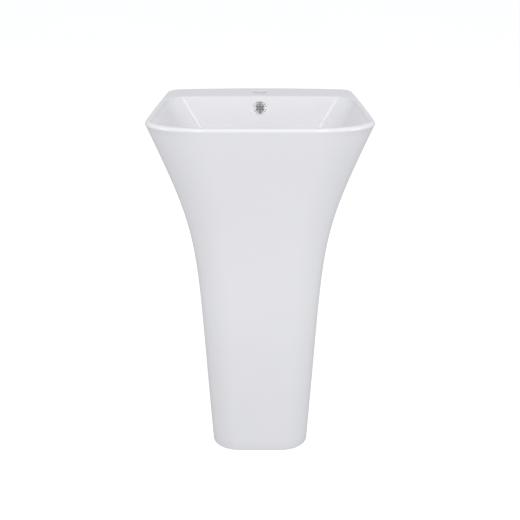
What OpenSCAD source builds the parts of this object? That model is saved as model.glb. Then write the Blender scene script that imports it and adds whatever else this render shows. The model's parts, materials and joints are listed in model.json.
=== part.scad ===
// Pedestal washbasin: one flared china casting with its overflow, push-to-open waste,
// bottle trap and outlet pipe. The origin is on the floor, midway between the two sides
// and midway between front and rear. +Z is up, +Y points at the wall.

/* [Casting] */
// Width over the rim, side to side
rim_w = 500; // [470:5:540]
// Depth over the rim, front to wall
rim_d = 415; // [405:5:430]
// Height of the deck's crown above the floor
height = 850; // [845:1:860]
// Width over the rear corners of the rim
rim_rear_w = 458; // [440:2:470]
// How far the middle of the deck rises above the rim
deck_crown = 3; // [0:0.5:4]
// Half width of the foot
foot_half_w = 118.6; // [110:0.2:126]
// Depth of the foot, front to wall
foot_d = 320; // [305:5:340]
// Thickness of the fired china
wall = 12; // [11:0.5:13]
// Radius of the rim's outer edge
rim_edge_r = 7; // [5:0.5:7]
// Thickness of the rim at the sides and the front
rim_t = 14; // [14:0.5:16]

/* [Deck and wall side] */
// Depth of the deck, from the wall to the bowl
deck_d = 90; // [88:1:92]
// Diameter of the tap hole
tap_hole_d = 35; // [33:0.5:36]
// Distance of the tap hole's centre from the wall
tap_hole_back = 45; // [44:1:48]
// Spacing of the two wall bolt holes
bolt_span = 280; // [260:5:290]
// Diameter of the wall bolt holes
bolt_hole_d = 13; // [10:0.5:14]
// Height of the wall bolt holes
bolt_z = 790; // [780:1:800]

/* [Overflow] */
// Height of the overflow's centre
overflow_z = 820; // [817:1:821]
// Outer diameter of the overflow ring
overflow_ring_d = 30; // [28:0.5:31]
// Inner diameter of the overflow ring
overflow_bore_d = 20; // [19:0.5:20.5]
// Distance between neighbouring holes of the grate
grate_pitch = 4.4; // [4.2:0.1:4.6]
// Diameter of a hole of the grate
grate_hole_d = 3; // [2.4:0.1:3.2]

/* [Waste and trap] */
// Where the waste stands, measured from the middle of the rim's depth
waste_y = -15; // [-18:1:-12]
// Outside diameter of the waste's thread
stem_d = 41.8; // [41.2:0.1:42]
// Travel of the push-to-open plug
plug_travel = 8; // [6:0.5:8]
// Outside diameter of the trap's pipes
pipe_d = 32; // [31.8:0.1:32]
// Height of the outlet pipe's centre
outlet_z = 565; // [563:1:567]
// Distance from the wall to the back of the cover plate, as supplied
plate_gap = 47; // [30:1:60]

/* [Hidden] */

$fn = 64;
china = [0.93, 0.94, 0.95];
chromed = [0.78, 0.79, 0.80];
brassy = [0.78, 0.65, 0.38];
rubbery = [0.12, 0.12, 0.13];
plastic = [0.86, 0.87, 0.86];

// ---- Curves ----

function bezier(p, t) =
  pow(1 - t, 3) * p[0] + 3 * pow(1 - t, 2) * t * p[1] + 3 * (1 - t) * t * t * p[2] + t * t * t * p[3];

// The parameter at which a curve that rises or falls steadily reaches a value, by halving
halvings = 24;
function reaches(p, value, lo = 0, hi = 1, step = 0) =
  let (mid = (lo + hi) / 2)
  step == halvings ? mid
  : (bezier(p, mid) < value) == (p[0] < p[3]) ? reaches(p, value, mid, hi, step + 1)
  : reaches(p, value, lo, mid, step + 1);

// A rounded corner from a to b, whose sides would meet at tip
quarter_k = 0.5523;
function corner(a, b, tip, t) =
  bezier([a, a + quarter_k * (tip - a), b + quarter_k * (tip - b), b], t);

function mix(a, b, t) = a + (b - a) * t;

// ---- Outlines seen from above ----

// How many points lie on each stretch of one half outline, from the rear to the front
rear_n = 3;
rear_corner_n = 6;
side_n = 5;
front_corner_n = 9;
front_n = 3;
side_start = rear_n + rear_corner_n;
front_corner_start = side_start + side_n;
front_start = front_corner_start + front_corner_n;
half_n = front_start + front_n;
ring_n = 2 * half_n;
side_bow = 0.25;

// Point i of a half outline. An outline is a list: half width at the front corner, half width
// at the rear corner, front y, rear y, front corner x and y, rear corner x and y.
function outline_point(o, i) =
  let (
    b = [o[0], o[2] + o[5]],
    a = [o[1], o[3] - o[7]],
    mid = [mix(b[0], a[0], (1 - side_bow) / 2), (a[1] + b[1]) / 2],
    rear_tip = a + (a - mid) * (o[3] - a[1]) / (a[1] - mid[1]),
    front_tip = b + (b - mid) * (b[1] - o[2]) / (mid[1] - b[1]),
    rear_end = [rear_tip[0] - o[6], o[3]],
    front_end = [front_tip[0] - o[4], o[2]],
    s = (i - side_start) / side_n
  )
  i < rear_n ? [rear_end[0] * i / rear_n, o[3]]
  : i < side_start ? corner(rear_end, a, rear_tip, (i - rear_n) / rear_corner_n)
  : i < front_corner_start ? pow(1 - s, 2) * a + 2 * s * (1 - s) * mid + s * s * b
  : i < front_start ? corner(b, front_end, front_tip, (i - front_corner_start) / front_corner_n)
  : [front_end[0] * (half_n - i) / front_n, o[2]];

// A whole ring of points: the half from the rear to the front, then its mirror image back
function ring(half) = concat(half, [for (i = [half_n - 1 : -1 : 1]) [-half[i][0], half[i][1], half[i][2]]]);

// ---- Pedestal and rim, outside ----

rim_z = height - deck_crown;
rear_y = rim_d / 2;
// The walls lean out under the rim, so its rounded edge ends short of the sharp outline
side_tangent = 1 / tan((90 - 20) / 2);
front_tangent = 1 / tan((90 - 15) / 2);
sharp_half_w = rim_w / 2 + rim_edge_r * (side_tangent - 1);
sharp_rear_half_w = rim_rear_w / 2 + rim_edge_r * (side_tangent - 1);
sharp_d = rim_d + rim_edge_r * (front_tangent - 1);
front_corner = [144, 87];
rear_corner = 28;
least_corner = 4;

// Heights, half widths and depths of the pedestal's long curves, from the floor to the rim
heights = [0, 565, 535, rim_z];
half_widths = [foot_half_w, 154, 133, sharp_half_w];
depths = [foot_d, 346, 331, sharp_d];

// The casting's outline at height z, drawn in by an inset all round. The back stays flat.
function shell_outline(z, inset) =
  let (
    t = reaches(heights, z),
    kx = bezier(half_widths, t) / sharp_half_w,
    depth = bezier(depths, t),
    ky = depth / sharp_d
  )
  [
    sharp_half_w * kx - inset, sharp_rear_half_w * kx - inset,
    rear_y - depth + inset, rear_y - inset,
    front_corner[0] * kx - inset, front_corner[1] * ky - inset,
    max(rear_corner * kx - inset, least_corner), max(rear_corner * ky - inset, least_corner)
  ];

function shell_ring(z, inset) =
  let (o = shell_outline(z, inset))
  ring([for (i = [0 : half_n]) let (p = outline_point(o, i)) [p[0], p[1], z]]);

// How far the crown lifts a point of the deck, most at the middle of the wall side
crown_half_w = 215;
crown_from_y = 60;
function crown(p) =
  let (
    across = max(0, 1 - pow(p[0] / crown_half_w, 2)),
    along = max(0, min(1, (p[1] - crown_from_y) / (rear_y - rim_edge_r - crown_from_y)))
  )
  deck_crown * across * along;

function lifted(o, i, z) = let (p = outline_point(o, i)) [p[0], p[1], z + crown(p)];

// A ring of the rim's rounded edge, at an angle round that edge: 0 is outermost, 90 is on top
function rim_edge_ring(angle) =
  let (
    side_in = rim_edge_r * (side_tangent - cos(angle)),
    front_in = rim_edge_r * (front_tangent - cos(angle)),
    rear_in = rim_edge_r * (1 - cos(angle)),
    o = [
      sharp_half_w - side_in, sharp_rear_half_w - side_in,
      rear_y - sharp_d + front_in, rear_y - rear_in,
      front_corner[0] - side_in, front_corner[1] - front_in,
      rear_corner - rear_in, rear_corner - rear_in
    ]
  )
  ring([for (i = [0 : half_n]) lifted(o, i, rim_z + rim_edge_r * (sin(angle) - 1))]);

// ---- Bowl ----

bowl_half_w = rim_w / 2 - rim_t;
bowl_front = rim_t - rim_d / 2;
bowl_back = rear_y - deck_d;
lip_r = 6;
bowl_top_z = rim_z - lip_r;
bowl_floor_z = 710;

// The bowl's walls, from the lip down to the floor: half width, front, back and height
side_curve = [bowl_half_w, 196, 172, 112];
front_curve = [bowl_front, -168, -150, -95];
back_curve = [bowl_back, 102, 92, 48];
drop_curve = [bowl_top_z, 772, 712, bowl_floor_z];
bowl_taper = [12, 6];
bowl_front_corner = [[130, 75], [75, 60]];
bowl_rear_corner = [45, 60];

// The bowl's outline at parameter u, 0 at the lip and 1 on the floor, swollen by extra
function bowl_outline(u, extra) =
  let (
    half = bezier(side_curve, u) + extra,
    fc = mix(bowl_front_corner[0], bowl_front_corner[1], u) + [extra, extra],
    rc = mix(bowl_rear_corner[0], bowl_rear_corner[1], u) + extra
  )
  [
    half, half - mix(bowl_taper[0], bowl_taper[1], u),
    bezier(front_curve, u) - extra, bezier(back_curve, u) + extra,
    fc[0], fc[1], rc, rc
  ];

// The lip's rounding, from the top of the rim (90) down to the bowl's wall (0)
function lip_ring(angle) =
  let (o = bowl_outline(0, lip_r * (1 - cos(angle))))
  ring([for (i = [0 : half_n]) lifted(o, i, rim_z + lip_r * (sin(angle) - 1))]);

// The crown fades out down the bowl's wall
function bowl_ring(u) =
  let (o = bowl_outline(u, 0))
  ring([for (i = [0 : half_n])
    let (p = outline_point(o, i)) [p[0], p[1], bezier(drop_curve, u) + crown(p) * (1 - u)]]);

function disc_ring(r, z) =
  ring([for (i = [0 : half_n])
    let (a = 90 - 180 * i / half_n) [r * cos(a), waste_y + r * sin(a), z]]);

// ---- Underside ----

floor_centre_z = 704.5;
floor_under_z = 691;
bowl_skin = 13;
deck_under_z = rim_z - wall - 1;
// Where bowl and outer wall part, at the sides and the front
fork_z = 742;

// The top of the hollow under point i of a ring: high under the deck, lower elsewhere
function hollow_top(i) =
  let (s = max(0, min(1, (i - rear_n) / (rear_corner_n - 2))))
  mix(deck_under_z, fork_z, s * s * (3 - 2 * s));

// The bowl's underside, at a share of the way from the hollow's top (0) to the floor (1)
function under_ring(share) =
  ring([for (i = [0 : half_n])
    let (
      u = mix(reaches(drop_curve, hollow_top(i)), 1, share),
      p = outline_point(bowl_outline(u, bowl_skin), i)
    )
    [p[0], p[1], bezier(drop_curve, u) - bowl_skin * share * share]]);

// The inner face of the outer wall, at a share of the hollow's height
function inner_ring(share) =
  ring([for (i = [0 : half_n])
    let (z = hollow_top(i) * share, p = outline_point(shell_outline(z, wall), i))
    [p[0], p[1], z]]);

foot_edge = 3;
outer_heights = [
  foot_edge, 90, 180, 270, 350, 420, 480, 530, 575, 620, 660, 700, 740, 775, 808
];

rings = concat(
  [shell_ring(0, foot_edge)],
  [for (z = outer_heights) shell_ring(z, 0)],
  [for (angle = [-18, 0, 25, 50, 70, 90]) rim_edge_ring(angle)],
  [for (angle = [90, 50, 20]) lip_ring(angle)],
  [for (u = [0, 0.18, 0.36, 0.52, 0.68, 0.84, 1]) bowl_ring(u)],
  [disc_ring(34, floor_centre_z), disc_ring(12, floor_centre_z), disc_ring(12, floor_under_z)],
  [for (share = [1, 0.75, 0.5, 0.25, 0]) under_ring(share)],
  [for (share = [1, 0.9, 0.8, 0.7, 0.58, 0.44, 0.3, 0.15, 0]) inner_ring(share)]
);

// The skin through all the rings closes on itself: up the outside, over the rim, down the
// bowl, through the waste hole and back along the underside. Its left half mirrors the right.
module casting() {
  count = len(rings);
  polyhedron(
    points = [for (r = rings) for (p = r) p],
    faces = [for (k = [0 : count - 1], j = [0 : ring_n - 1], second = [false, true])
      let (
        k2 = (k + 1) % count,
        j2 = (j + 1) % ring_n,
        a = k * ring_n + j,
        b = k * ring_n + j2,
        c = k2 * ring_n + j2,
        d = k2 * ring_n + j
      )
      j < half_n ? (second ? [a, c, d] : [a, b, c]) : (second ? [a, b, d] : [b, c, d])]
  );
}

// ---- Places ----

module at_waste(z = 0) translate([0, waste_y, z]) children();
module along_y(y, z) translate([0, y, z]) rotate([-90, 0, 0]) children();
module turned(profile) rotate_extrude() polygon(profile);

// The overflow stands square to the bowl's back wall
overflow_u = reaches(drop_curve, overflow_z);
overflow_y = bezier(back_curve, overflow_u);
lean_step = 0.02;
overflow_lean = atan2(
  bezier(back_curve, overflow_u - lean_step) - bezier(back_curve, overflow_u + lean_step),
  bezier(drop_curve, overflow_u - lean_step) - bezier(drop_curve, overflow_u + lean_step)
);
overflow_seat = 0.6;
module at_overflow()
  translate([0, overflow_y, overflow_z]) rotate([90 - overflow_lean, 0, 0])
    translate([0, 0, -overflow_seat]) children();

// ---- Casting, with its holes ----

boss_r = 36;
boss_z = 655;
waste_hole_r = 23;
seat_z = 702;
seat_r = 33.5;
duct_w = 34;
duct_deep = 10;
duct_skin = 6;
duct_low = [672, 684];
duct_rear = 106;
sleeve_r = 12.5;
back_slot = [[-72, -1], [72, -1], [72, 560], [105, 620], [105, 822], [-105, 822], [-105, 620], [-72, 560]];

// The overflow's passage seen from the side: behind the bowl, then under it to the waste
duct_steps = [0.09, 0.28, 0.52];
duct_front = [for (u = duct_steps) [bezier(back_curve, u) + bowl_skin - 1, bezier(drop_curve, u)]];
duct_profile = concat(
  [for (p = duct_front) p + [duct_deep, 0]],
  [[duct_rear, duct_low[1] + 28], [duct_rear, duct_low[0]], [waste_y, duct_low[0]],
   [waste_y, duct_low[1]], [duct_rear - 14, duct_low[1]], [duct_rear - 12, duct_low[1] + 28]],
  [for (i = [2 : -1 : 0]) duct_front[i]]
);
duct_case = concat(
  [for (p = duct_front) p + [duct_deep + duct_skin, 0] + (p == duct_front[0] ? [-1, 9] : [0, 0])],
  [[duct_rear + duct_skin, duct_low[1] + 28], [duct_rear + duct_skin, duct_low[0] - duct_skin],
   [waste_y, duct_low[0] - duct_skin], [waste_y, 700], [60, 702],
   [duct_rear - 22, duct_low[1] + 36]],
  [for (i = [2 : -1 : 0]) duct_front[i] - [duct_skin, 0] + (i == 0 ? [1, 9] : [0, 0])]
);

module duct(profile, width) rotate([90, 0, 90]) linear_extrude(width, center = true) polygon(profile);

module ceramic_body() color(china) difference() {
  union() {
    casting();
    at_waste(boss_z) cylinder(r = boss_r, h = 700 - boss_z);
    duct(duct_case, duct_w + 2 * duct_skin);
  }
  duct(duct_profile, duct_w);
  at_waste(boss_z - 1) cylinder(r = waste_hole_r, h = 60);
  at_waste(seat_z) cylinder(r = seat_r, h = 20);
  at_overflow() cylinder(d = overflow_ring_d + 0.6, h = 10);
  at_overflow() translate([0, 0, -16]) cylinder(r = sleeve_r, h = 20);
  translate([0, rear_y - tap_hole_back, deck_under_z - 6]) cylinder(d = tap_hole_d, h = 40);
  for (side = [-1, 1])
    translate([side * bolt_span / 2, rear_y - wall - 10, bolt_z])
      rotate([-90, 0, 0]) cylinder(d = bolt_hole_d, h = 40);
  translate([0, rear_y + 10, 0]) rotate([90, 0, 0]) linear_extrude(wall + 20) polygon(back_slot);
}

// ---- Overflow ----

ring_tube_r = 11.4;
ring_tube_l = 8;
ring_proud = 2.4;
grate_depth = [4.5, 3.5];

module overflow_ring() color(chromed) {
  out_r = overflow_ring_d / 2;
  in_r = overflow_bore_d / 2;
  mid_r = (out_r + in_r) / 2;
  half = (out_r - in_r) / 2;
  at_overflow() turned(concat(
    [for (a = [0 : 15 : 180]) [mid_r + half * cos(a), ring_proud * sin(a)]],
    [[in_r, -ring_tube_l], [ring_tube_r, -ring_tube_l], [ring_tube_r, 0]]
  ));
}

// Rows of round holes, every other row moved along by half a pitch
module overflow_grate() color(chromed) {
  in_r = overflow_bore_d / 2;
  row_gap = grate_pitch * sin(60);
  at_overflow() translate([0, 0, -grate_depth[0]]) difference() {
    cylinder(r = in_r, h = grate_depth[0] - grate_depth[1]);
    for (row = [-2 : 2], col = [-3 : 3]) {
      p = [(col + (row % 2 == 0 ? 0.5 : 0)) * grate_pitch, row * row_gap];
      if (norm(p) + grate_hole_d / 2 < in_r - 0.3)
        translate([p[0], p[1], -1]) cylinder(d = grate_hole_d, h = 4, $fn = 24);
    }
  }
}

module overflow_sleeve() color(plastic)
  at_overflow() turned([
    [ring_tube_r, -11], [sleeve_r - 0.05, -11], [sleeve_r - 0.05, -0.2], [ring_tube_r, -0.2]
  ]);

// ---- Waste ----

stem_r = stem_d / 2;
stem_bore_r = 17.5;
stem_bottom = 622;
flange_r = 32;
seal_t = 1.2;
flange_z = seat_z + seal_t;
flange_top = flange_z + 2.2;
nut_gap = 0.1;
tail_r = 4;
tail_gap = 0.05;
cross_z = [662, 668];

// The waste's tail is turned so that its start line lies between a slot and a bar
tail_turn = 30;
module waste_body() color(chromed) {
  at_waste() difference() {
    rotate(tail_turn) turned([
      [stem_bore_r, stem_bottom], [stem_r, stem_bottom], [stem_r, flange_z], [flange_r, flange_z],
      [flange_r, flange_z + 1.2], [flange_r - 1, flange_top], [24, flange_top],
      [20.5, flange_z - 1], [stem_bore_r, flange_z - 6]
    ]);
    for (turn = [0, 90])
      rotate(turn) translate([-30, -7, duct_low[0]]) cube([60, 14, duct_low[1] - duct_low[0]]);
  }
  at_waste(cross_z[0]) difference() {
    union() {
      cylinder(r = 7.5, h = cross_z[1] - cross_z[0]);
      for (turn = [45, 135])
        rotate(turn) translate([-stem_bore_r - 1, -2, 1])
          cube([2 * stem_bore_r + 2, 4, cross_z[1] - cross_z[0] - 2]);
    }
    translate([0, 0, -1]) cylinder(r = tail_r + tail_gap, h = 20);
  }
}

module waste_flange_seal() color(rubbery)
  at_waste(seat_z) turned([[23.5, 0], [31, 0], [31, seal_t], [23.5, seal_t]]);

lower_seal_z = [647.5, boss_z];
module waste_lower_seal() color(rubbery)
  at_waste() turned([
    [stem_r + nut_gap, lower_seal_z[0]], [28, lower_seal_z[0]], [34, lower_seal_z[0] + 3.5],
    [34, lower_seal_z[1]], [stem_r + nut_gap, lower_seal_z[1]]
  ]);

slip_t = 1.5;
module waste_slip_washer() color(plastic)
  at_waste(lower_seal_z[0] - slip_t) difference() {
    cylinder(r = 30, h = slip_t);
    translate([0, 0, -1]) cylinder(r = stem_r + nut_gap, h = 4);
  }

backnut_h = 10;
module waste_backnut() color(brassy)
  at_waste(lower_seal_z[0] - slip_t - backnut_h) difference() {
    cylinder(r = 29, h = backnut_h, $fn = 6);
    translate([0, 0, -1]) cylinder(r = stem_r + nut_gap, h = 20);
  }

// ---- Plug ----

cap_z = 707.2;
cap_r = 31;
plunger_r = 3.2;
plunger_gap = 0.08;
collar_z = 680;
// The stem's collar, 2 high, rises inside the chamber with some room to spare
chamber = [672, collar_z + 2 + plug_travel + 5];

module plug_cap() color(chromed)
  at_waste() turned(concat(
    [[0, cap_z], [cap_r, cap_z]],
    [for (a = [0 : 9 : 90]) [cap_r + 0.5 - 31.5 * (1 - cos(a)), cap_z + 0.8 + 4.8 * sin(a)]]
  ));

module plug_seal() color(rubbery)
  at_waste(flange_top + 0.3) turned([[22, 0], [29, 0], [29, 1.5], [22, 1.5]]);

module plug_stem() color(brassy)
  at_waste() turned([
    [0, collar_z], [4.9, collar_z], [4.9, collar_z + 2], [plunger_r, collar_z + 2],
    [plunger_r, cap_z - 1], [6, cap_z - 1], [6, cap_z], [0, cap_z]
  ]);

module click_cartridge() color(brassy)
  at_waste() turned([
    [0, cross_z[0] - 2], [tail_r, cross_z[0] - 2], [tail_r, cross_z[1]], [6.5, cross_z[1]],
    [6.5, chamber[1] + 2], [plunger_r + plunger_gap, chamber[1] + 2],
    [plunger_r + plunger_gap, chamber[1]], [5.2, chamber[1]], [5.2, chamber[0]], [0, chamber[0]]
  ]);

// The spring is squeezed while the plug is shut. Its wire is a row of hexagons along a helix.
coil_r = 4;
wire_r = 0.4;
coil_turns = 5;
coil_steps = 16;
coil_z = [chamber[0] + 0.8, collar_z - 0.8];
wire_sides = 6;

module click_spring() color(chromed) {
  count = coil_turns * coil_steps;
  last = count * wire_sides;
  at_waste() polyhedron(
    points = [for (i = [0 : count], k = [0 : wire_sides - 1])
      let (turn = 360 * i / coil_steps, a = 360 * k / wire_sides, r = coil_r + wire_r * cos(a))
      [r * cos(turn), r * sin(turn), mix(coil_z[0], coil_z[1], i / count) + wire_r * sin(a)]],
    faces = concat(
      [for (i = [0 : count - 1], k = [0 : wire_sides - 1], second = [false, true])
        let (
          k2 = (k + 1) % wire_sides,
          a = i * wire_sides + k,
          b = i * wire_sides + k2,
          c = b + wire_sides,
          d = a + wire_sides
        )
        second ? [a, d, c] : [a, c, b]],
      [[for (k = [0 : wire_sides - 1]) k]],
      [[for (k = [wire_sides - 1 : -1 : 0]) last + k]]
    )
  );
}

// ---- Bottle trap ----

pipe_r = pipe_d / 2;
pipe_wall = 1.2;
pipe_gap = 0.3;
tube_flange_r = 20.6;
inlet_washer_z = [619.5, stem_bottom];
tube_flange_z = [617.5, inlet_washer_z[0]];
tube_end = 475;

module trap_inlet_washer() color(rubbery)
  at_waste() turned([
    [pipe_r - pipe_wall, inlet_washer_z[0]], [tube_flange_r, inlet_washer_z[0]],
    [tube_flange_r, inlet_washer_z[1]], [pipe_r - pipe_wall, inlet_washer_z[1]]
  ]);

module trap_dip_tube() color(chromed)
  at_waste() turned([
    [pipe_r - pipe_wall, tube_end], [pipe_r, tube_end], [pipe_r, tube_flange_z[0]],
    [tube_flange_r, tube_flange_z[0]], [tube_flange_r, tube_flange_z[1]],
    [pipe_r - pipe_wall, tube_flange_z[1]]
  ]);

// A union nut: a thread bore, and a lip with a smaller bore that pulls on the pipe's flange.
// Eight flats are cut into its rim.
module union_nut(r, h, bore_r, bore_h, hole_r) difference() {
  intersection() {
    cylinder(r = r, h = h);
    cylinder(r = r * 1.045, h = h, $fn = 8);
  }
  translate([0, 0, -1]) cylinder(r = bore_r, h = bore_h + 1);
  translate([0, 0, -1]) cylinder(r = hole_r, h = h + 2);
}

module trap_inlet_nut() color(chromed)
  at_waste(631) mirror([0, 0, 1]) union_nut(26, 20, stem_r + nut_gap, 13.6, pipe_r + pipe_gap);

head_top = 598;
head_washer_t = 2;
module trap_head_washer() color(rubbery)
  at_waste(head_top) difference() {
    cylinder(r = 20.8, h = head_washer_t);
    translate([0, 0, -1]) cylinder(r = pipe_r + 0.05, h = 5);
  }

module trap_head_nut() color(chromed)
  at_waste(592) union_nut(25, 14, 21 + nut_gap, 8.2, pipe_r + pipe_gap);

spigot_r = 19.5;
spigot_end = 40;
skirt_r = 28;
skirt_z = 530;
module trap_head() color(chromed) difference() {
  union() {
    at_waste() turned([
      [0, skirt_z], [skirt_r, skirt_z], [skirt_r, 543], [31, 543], [31, 583], [27, 588], [21, 591],
      [21, head_top], [0, head_top]
    ]);
    along_y(waste_y, outlet_z) cylinder(r = spigot_r, h = spigot_end - waste_y);
  }
  at_waste() turned([
    [0, skirt_z - 1], [24.5, skirt_z - 1], [24.5, 580], [pipe_r + pipe_gap, 586],
    [pipe_r + pipe_gap, head_top + 1], [0, head_top + 1]
  ]);
  along_y(waste_y, outlet_z) cylinder(r = pipe_r + pipe_gap, h = spigot_end - waste_y + 1);
}

cup_gap = 0.3;
ledge_z = 527;
module trap_cup() color(chromed)
  at_waste() turned([
    [0, 446], [20, 446], [26, 449], [28, 454], [28, 522], [32.5, 527], [32.5, 542.5],
    [skirt_r + cup_gap, 542.5], [skirt_r + cup_gap, ledge_z], [25, ledge_z], [25, 455], [21, 450],
    [0, 450]
  ]);

module trap_cup_seal() color(rubbery)
  at_waste() turned([
    [25.2, ledge_z + cup_gap], [28, ledge_z + cup_gap], [28, skirt_z - cup_gap],
    [25.2, skirt_z - cup_gap]
  ]);

// ---- Outlet ----

outlet_washer_l = 2.5;
module outlet_washer() color(rubbery)
  along_y(spigot_end, outlet_z) difference() {
    cylinder(r = 19.3, h = outlet_washer_l);
    translate([0, 0, -1]) cylinder(r = pipe_r + 0.05, h = 6);
  }

module outlet_nut() color(chromed)
  along_y(28, outlet_z) union_nut(24, 19, spigot_r + nut_gap, 14.8, pipe_r + pipe_gap);

// The pipe's free end goes into the drain in the wall as far as a shallow groove round it
pipe_start = 22;
free_end = 46;
groove = 1.5;
module outlet_pipe() color(chromed) {
  mark = rear_y - free_end - pipe_start;
  bore_r = pipe_r - pipe_wall;
  along_y(pipe_start, outlet_z) turned([
    [bore_r, 0], [pipe_r, 0], [pipe_r, mark - groove], [pipe_r - 0.3, mark - groove],
    [pipe_r - 0.3, mark], [pipe_r, mark], [pipe_r, mark + free_end], [bore_r, mark + free_end]
  ]);
}

// A thin dished plate that slides along the pipe and hides the hole in the wall
plate_r = 35;
plate_bore_r = pipe_r + 0.08;
module wall_flange() color(chromed)
  along_y(rear_y - plate_gap, outlet_z) turned([
    [plate_r, 0], [plate_r, -1.5], [29, -5.5], [21, -8.5], [plate_bore_r, -10],
    [plate_bore_r, -6], [20.5, -6.8], [28, -4], [33, -0.8], [33, 0]
  ]);

ceramic_body();
overflow_ring();
overflow_grate();
overflow_sleeve();
waste_body();
waste_flange_seal();
waste_lower_seal();
waste_slip_washer();
waste_backnut();
plug_cap();
plug_seal();
plug_stem();
click_cartridge();
click_spring();
trap_inlet_nut();
trap_inlet_washer();
trap_dip_tube();
trap_head_nut();
trap_head_washer();
trap_head();
trap_cup();
trap_cup_seal();
outlet_nut();
outlet_washer();
outlet_pipe();
wall_flange();
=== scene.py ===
# %% [markdown]
# # A flared pedestal washbasin
# The basin is one piece of fired china: bowl, deck and pedestal are cast together and glazed
# white. Behind and below it hide an overflow, a push-to-open waste and a bottle trap.
# The engineering model is loaded first. It fixes where everything is, and nothing here
# moves it: new pieces are built round it in the same metres and the same axes.

# %% Load the frame
import json
import math

import bmesh
import bpy
import numpy as np
from mathutils import Matrix, Vector


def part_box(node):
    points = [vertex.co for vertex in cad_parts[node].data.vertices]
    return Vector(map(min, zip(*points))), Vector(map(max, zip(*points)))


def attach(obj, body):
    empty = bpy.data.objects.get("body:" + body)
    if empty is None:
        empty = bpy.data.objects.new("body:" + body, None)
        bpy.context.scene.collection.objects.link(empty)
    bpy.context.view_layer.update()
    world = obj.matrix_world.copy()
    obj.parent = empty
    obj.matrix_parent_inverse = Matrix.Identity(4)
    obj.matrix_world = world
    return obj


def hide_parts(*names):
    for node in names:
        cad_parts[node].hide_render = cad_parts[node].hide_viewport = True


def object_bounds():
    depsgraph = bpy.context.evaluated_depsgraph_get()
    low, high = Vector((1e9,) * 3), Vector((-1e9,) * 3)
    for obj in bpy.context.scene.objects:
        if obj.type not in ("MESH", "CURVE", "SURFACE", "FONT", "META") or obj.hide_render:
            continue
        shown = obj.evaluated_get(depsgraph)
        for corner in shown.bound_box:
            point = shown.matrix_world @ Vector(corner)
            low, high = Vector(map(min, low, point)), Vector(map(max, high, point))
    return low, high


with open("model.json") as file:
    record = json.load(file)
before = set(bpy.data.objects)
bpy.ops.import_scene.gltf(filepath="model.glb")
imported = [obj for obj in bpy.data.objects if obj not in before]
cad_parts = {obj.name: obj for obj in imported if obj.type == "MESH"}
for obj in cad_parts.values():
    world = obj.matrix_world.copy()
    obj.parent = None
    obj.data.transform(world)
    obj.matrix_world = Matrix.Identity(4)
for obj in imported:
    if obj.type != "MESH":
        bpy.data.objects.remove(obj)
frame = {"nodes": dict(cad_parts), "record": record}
cad_box = [list(corner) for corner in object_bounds()]
print("CAD box, metres:", [[round(v, 4) for v in corner] for corner in cad_box])

# %% [markdown]
# ## Camera
# The camera stands in front of the basin, a little above the rim, and looks down so that the
# bowl's back wall and the deck both show. A longish lens keeps the pedestal from tapering
# more than it does in life. It is made first, so every later step can be looked at.

# %% Camera
camera_data = bpy.data.cameras.new("camera")
camera_data.lens = 66.07
camera_data.sensor_width = 36.0
camera = bpy.data.objects.new("camera", camera_data)
camera.location = (0.0, -2.1649, 1.3263)
camera.rotation_euler = (math.radians(68.42), 0.0, 0.0)
bpy.context.scene.collection.objects.link(camera)
bpy.context.scene.camera = camera
print("camera lens, mm:", camera_data.lens)

# %% [markdown]
# ## Node helpers
# Materials and Geometry Nodes are both trees of nodes. Three small helpers keep the code that
# builds them readable: one adds a node and sets its properties and sockets, one joins an
# output to an input, and one adds a Math node with its operands.

# %% Node helpers
def add(tree, kind, sockets=None, **properties):
    made = tree.nodes.new(kind)
    for key, value in properties.items():
        setattr(made, key, value)
    for key, value in (sockets or {}).items():
        made.inputs[key].default_value = value
    return made


def join(tree, source, output, target, entry):
    tree.links.new(source.outputs[output], target.inputs[entry])


def maths(tree, operation, first, second=None, third=None):
    """A Math node. Each operand is a number or a (node, output) pair."""
    made = add(tree, "ShaderNodeMath", operation=operation)
    for place, value in enumerate((first, second, third)):
        if isinstance(value, tuple):
            join(tree, value[0], value[1], made, place)
        elif value is not None:
            made.inputs[place].default_value = value
    return made, 0

# %% [markdown]
# ## A surface recipe
# Every finish on the basin is a Principled shader whose colour and roughness drift a little
# from place to place, with a fine bump on top. A real surface is never one flat value: glaze
# pools, plating clouds and turned brass darkens. One recipe with different numbers gives all
# of them. The noise reads Object coordinates, which are metres here, so a scale of 400
# means features about 2.5 mm across.

# %% Surface recipe
for carried in frame["nodes"].values():
    carried.data.materials.clear()
for imported in list(bpy.data.materials):
    bpy.data.materials.remove(imported)


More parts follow.
